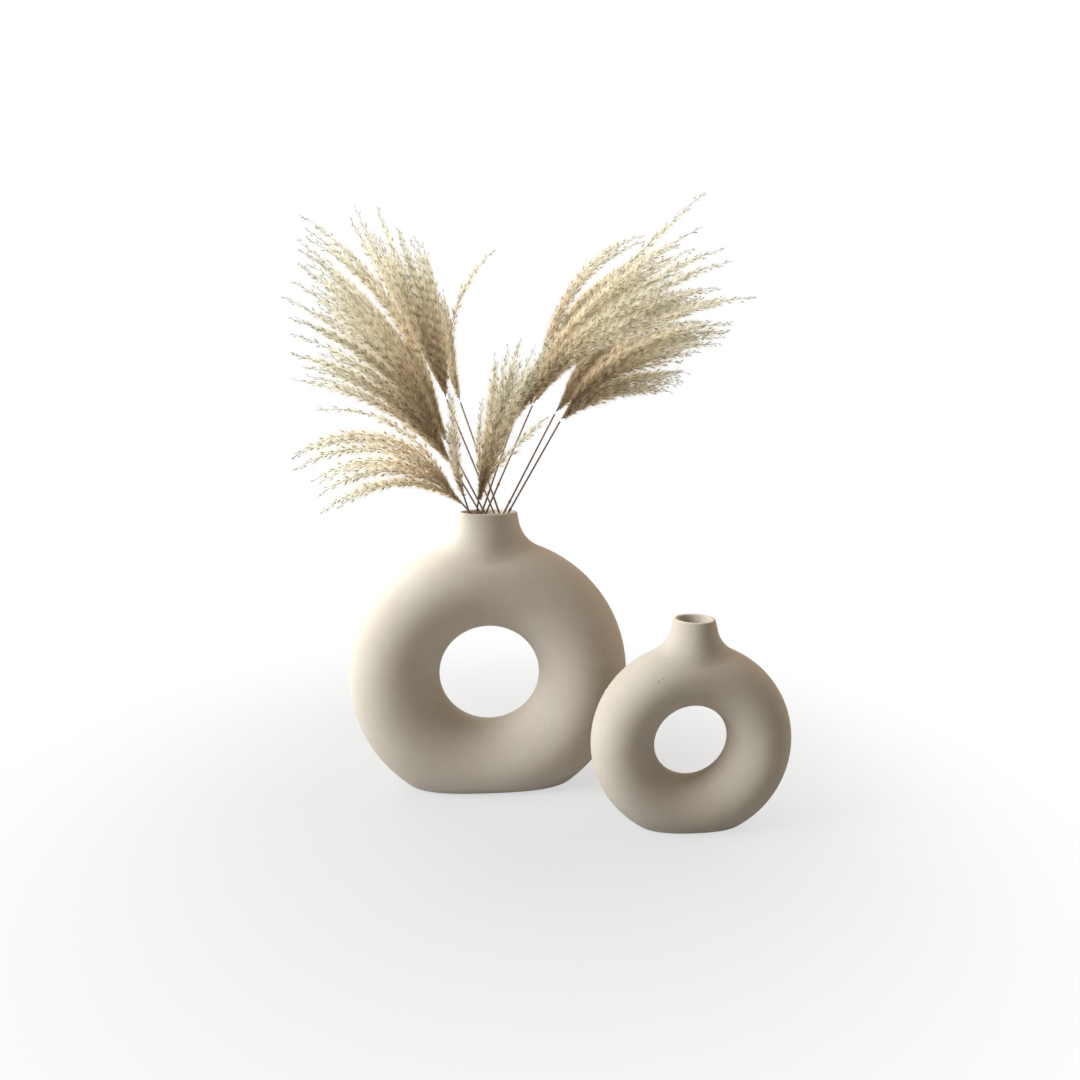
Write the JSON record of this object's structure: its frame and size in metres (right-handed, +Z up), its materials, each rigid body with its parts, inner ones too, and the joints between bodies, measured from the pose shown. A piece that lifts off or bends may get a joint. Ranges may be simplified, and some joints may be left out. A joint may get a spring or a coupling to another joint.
{
  "type": "donut vase set",
  "caption": "Set of a large and a small ring-shaped stoneware vase with short necks and flat feet. Dried reed stems with feathery plumes stand in the large one and lift out.",
  "frame": {"origin": "middle of the large vase's flat foot, on the surface that both vases stand on", "axes": "+Z up, out of the necks. The rings face -Y, the side that the picture shows. +X to the right, towards the small vase."},
  "size_m": [0.3434, 0.2043, 0.4468],
  "materials": {
    "stoneware": "matte",
    "reed_stalk": "matte",
    "reed_plume": "matte"
  },
  "bodies": {
    "large_vase": {"large_vase": "stoneware"},
    "small_vase": {"small_vase": "stoneware"},
    "stem_left_tall": {"stalk_left_tall": "reed_stalk", "plume_left_tall": "reed_plume"},
    "stem_left_back": {"stalk_left_back": "reed_stalk", "plume_left_back": "reed_plume"},
    "stem_left_long": {"stalk_left_long": "reed_stalk", "plume_left_long": "reed_plume"},
    "stem_left_broad": {"stalk_left_broad": "reed_stalk", "plume_left_broad": "reed_plume"},
    "stem_left_short": {"stalk_left_short": "reed_stalk", "plume_left_short": "reed_plume"},
    "stem_left_low": {"stalk_left_low": "reed_stalk", "plume_left_low": "reed_plume"},
    "stem_right_low": {"stalk_right_low": "reed_stalk", "plume_right_low": "reed_plume"},
    "stem_right_broad": {"stalk_right_broad": "reed_stalk", "plume_right_broad": "reed_plume"},
    "stem_right_tall": {"stalk_right_tall": "reed_stalk", "plume_right_tall": "reed_plume"},
    "stem_right_long": {"stalk_right_long": "reed_stalk", "plume_right_long": "reed_plume"},
    "stem_right_near": {"stalk_right_near": "reed_stalk", "plume_right_near": "reed_plume"}
  },
  "joints": [
    {"name": "lift_small_vase", "type": "slide", "parent": "large_vase", "child": "small_vase", "axis": [0, 0, 1], "range_m": [0, 0.06]},
    {"name": "pull_left_tall", "type": "slide", "parent": "large_vase", "child": "stem_left_tall", "axis": [-0.3756, 0.1077, 0.9205], "range_m": [0, 0.21]},
    {"name": "pull_left_back", "type": "slide", "parent": "large_vase", "child": "stem_left_back", "axis": [-0.3141, 0.2828, 0.9063], "range_m": [0, 0.11]},
    {"name": "pull_left_long", "type": "slide", "parent": "large_vase", "child": "stem_left_long", "axis": [-0.4891, -0.104, 0.866], "range_m": [0, 0.2]},
    {"name": "pull_left_broad", "type": "slide", "parent": "large_vase", "child": "stem_left_broad", "axis": [-0.4523, 0.0396, 0.891], "range_m": [0, 0.21]},
    {"name": "pull_left_short", "type": "slide", "parent": "large_vase", "child": "stem_left_short", "axis": [-0.2604, -0.3719, 0.891], "range_m": [0, 0.09]},
    {"name": "pull_left_low", "type": "slide", "parent": "large_vase", "child": "stem_left_low", "axis": [-0.6133, -0.3261, 0.7193], "range_m": [0, 0.09]},
    {"name": "pull_right_low", "type": "slide", "parent": "large_vase", "child": "stem_right_low", "axis": [0.4851, -0.121, 0.866], "range_m": [0, 0.13]},
    {"name": "pull_right_broad", "type": "slide", "parent": "large_vase", "child": "stem_right_broad", "axis": [0.4649, 0.0653, 0.8829], "range_m": [0, 0.12]},
    {"name": "pull_right_tall", "type": "slide", "parent": "large_vase", "child": "stem_right_tall", "axis": [0.4008, 0.2131, 0.891], "range_m": [0, 0.1]},
    {"name": "pull_right_long", "type": "slide", "parent": "large_vase", "child": "stem_right_long", "axis": [0.3205, -0.2504, 0.9135], "range_m": [0, 0.09]},
    {"name": "pull_right_near", "type": "slide", "parent": "large_vase", "child": "stem_right_near", "axis": [0.1327, -0.4342, 0.891], "range_m": [0, 0.08]}
  ]
}
